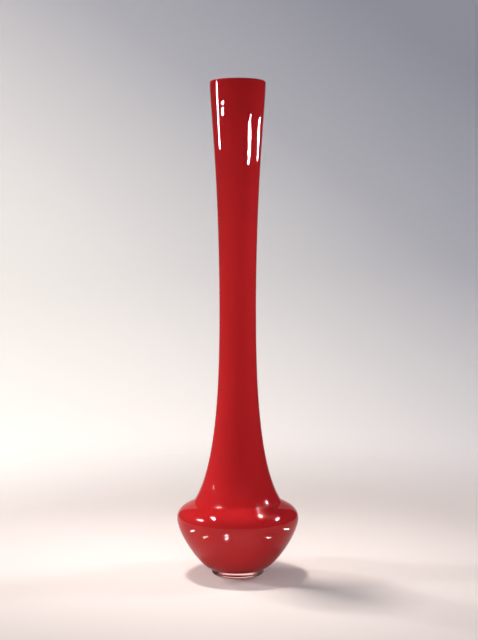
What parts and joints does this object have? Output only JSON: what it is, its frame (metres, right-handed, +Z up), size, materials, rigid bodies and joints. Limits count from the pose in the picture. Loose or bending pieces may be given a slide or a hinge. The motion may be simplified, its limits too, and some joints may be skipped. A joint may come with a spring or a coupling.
{
  "type": "stem vase",
  "caption": "Tall slim stem vase of cased hand-blown glass: a flared neck, a soft shoulder, a low rounded bulb and a short clear foot with a flat base.",
  "frame": {"origin": "centre of the flat base, on the surface that the vase stands on", "axes": "+Z up along the vase's axis of turning, from base to lip; +X and +Y are any two directions square to it, because the vase is round"},
  "size_m": [0.1239, 0.124, 0.5],
  "materials": {
    "clear_glass": "clear, fire-polished",
    "red_glass": "opaque ruby red colour glass",
    "opal_glass": "white opal glass, glossy",
    "foot_glass": "clear, fire-polished side and ground and polished base"
  },
  "bodies": {
    "root": {"clear_casing": "clear_glass", "red_layer": "red_glass", "opal_lining": "opal_glass", "clear_foot": "foot_glass"}
  },
  "joints": []
}
